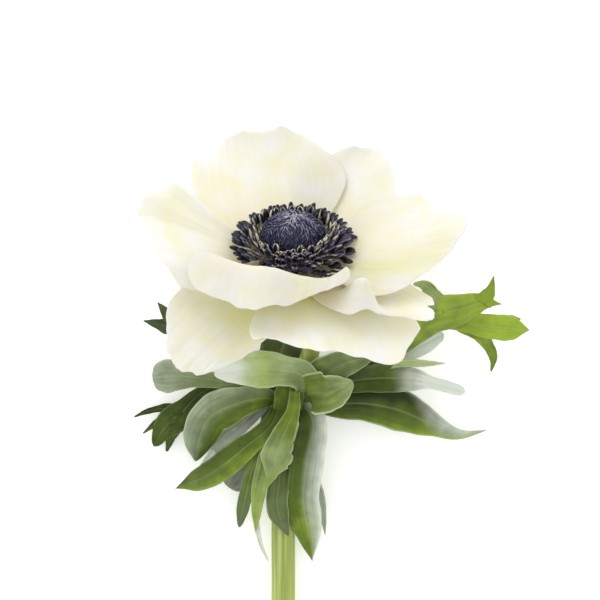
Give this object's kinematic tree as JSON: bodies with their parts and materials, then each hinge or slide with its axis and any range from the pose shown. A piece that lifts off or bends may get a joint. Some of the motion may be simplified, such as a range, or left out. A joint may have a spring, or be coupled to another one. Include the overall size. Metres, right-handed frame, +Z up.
{
  "type": "anemone flower",
  "caption": "Cut white anemone lying down: an open cup of pleated, overlapping tepals round a dark dome and stamens, over a lacy collar of green bracts on a pale stem.",
  "frame": {"origin": "on the surface that the flower lies on, under the middle of its outline", "axes": "+Y along the stem from its cut end to the bloom, +Z up from the surface, +X to the right seen from above; the bloom looks up and along +Y, its axis 54 degrees from +Z"},
  "size_m": [0.1077, 0.203, 0.0578],
  "materials": {
    "tepal": "matte",
    "leaf": "satin",
    "stem": "satin",
    "pistil": "matte",
    "stamen": "matte"
  },
  "bodies": {
    "root": {"stem": "stem", "bract_front": "leaf", "bract_left": "leaf", "bract_right": "leaf", "tepal_back": "tepal", "tepal_back_right": "tepal", "tepal_right": "tepal", "tepal_left": "tepal", "tepal_front": "tepal", "tepal_front_left": "tepal", "tepal_front_right": "tepal", "tepal_front_far_right": "tepal", "pistil": "pistil", "stamens": "stamen"}
  },
  "joints": []
}
